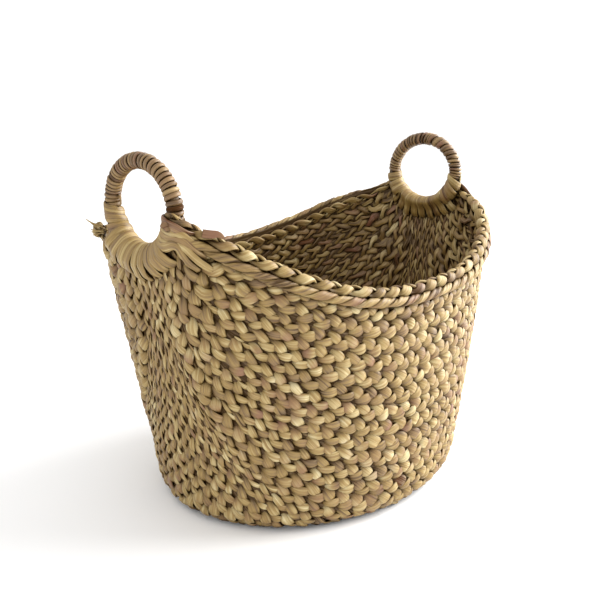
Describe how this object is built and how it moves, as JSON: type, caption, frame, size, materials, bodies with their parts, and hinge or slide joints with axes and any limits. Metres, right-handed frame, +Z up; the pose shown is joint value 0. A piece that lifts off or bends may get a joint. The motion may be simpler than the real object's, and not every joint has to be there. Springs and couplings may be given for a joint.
{
  "type": "storage basket",
  "caption": "Oval open-topped seagrass storage basket: plaits hung from handle to handle, a dipped rim and wrapped loop handles.",
  "frame": {"origin": "centre of the basket's length and depth, on the surface it stands on", "axes": "+X from the left handle to the right handle, +Y from the front to the back, +Z up"},
  "size_m": [0.5248, 0.3778, 0.4223],
  "materials": {
    "plaited_seagrass": "matte",
    "rim_seagrass": "matte",
    "handle_twine": "matte",
    "leaf_binding": "satin",
    "cane_rod": "satin"
  },
  "bodies": {
    "root": {"back_plait_01": "plaited_seagrass", "back_plait_02": "plaited_seagrass", "back_plait_03": "plaited_seagrass", "back_plait_04": "plaited_seagrass", "back_plait_05": "plaited_seagrass", "back_plait_06": "plaited_seagrass", "back_plait_07": "plaited_seagrass", "back_plait_08": "plaited_seagrass", "back_plait_09": "plaited_seagrass", "back_plait_10": "plaited_seagrass", "back_plait_11": "plaited_seagrass", "back_plait_12": "plaited_seagrass", "back_plait_13": "plaited_seagrass", "back_plait_14": "plaited_seagrass", "floor_plait_01": "plaited_seagrass", "floor_plait_02": "plaited_seagrass", "floor_plait_03": "plaited_seagrass", "floor_plait_04": "plaited_seagrass", "floor_plait_05": "plaited_seagrass", "floor_plait_06": "plaited_seagrass", "floor_plait_07": "plaited_seagrass", "floor_plait_08": "plaited_seagrass", "floor_plait_09": "plaited_seagrass", "floor_plait_10": "plaited_seagrass", "floor_plait_11": "plaited_seagrass", "floor_plait_12": "plaited_seagrass", "floor_plait_13": "plaited_seagrass", "floor_plait_14": "plaited_seagrass", "floor_plait_15": "plaited_seagrass", "front_plait_01": "plaited_seagrass", "front_plait_02": "plaited_seagrass", "front_plait_03": "plaited_seagrass", "front_plait_04": "plaited_seagrass", "front_plait_05": "plaited_seagrass", "front_plait_06": "plaited_seagrass", "front_plait_07": "plaited_seagrass", "front_plait_08": "plaited_seagrass", "front_plait_09": "plaited_seagrass", "front_plait_10": "plaited_seagrass", "front_plait_11": "plaited_seagrass", "front_plait_12": "plaited_seagrass", "front_plait_13": "plaited_seagrass", "front_plait_14": "plaited_seagrass", "handle_band_back_left": "leaf_binding", "handle_band_back_right": "leaf_binding", "handle_band_front_left": "leaf_binding", "handle_band_front_right": "leaf_binding", "handle_rod_left": "cane_rod", "handle_rod_right": "cane_rod", "handle_twine_left": "handle_twine", "handle_twine_right": "handle_twine", "lip_binding_left": "leaf_binding", "lip_binding_right": "leaf_binding", "rim_plait_back": "rim_seagrass", "rim_plait_front": "rim_seagrass"}
  },
  "joints": []
}
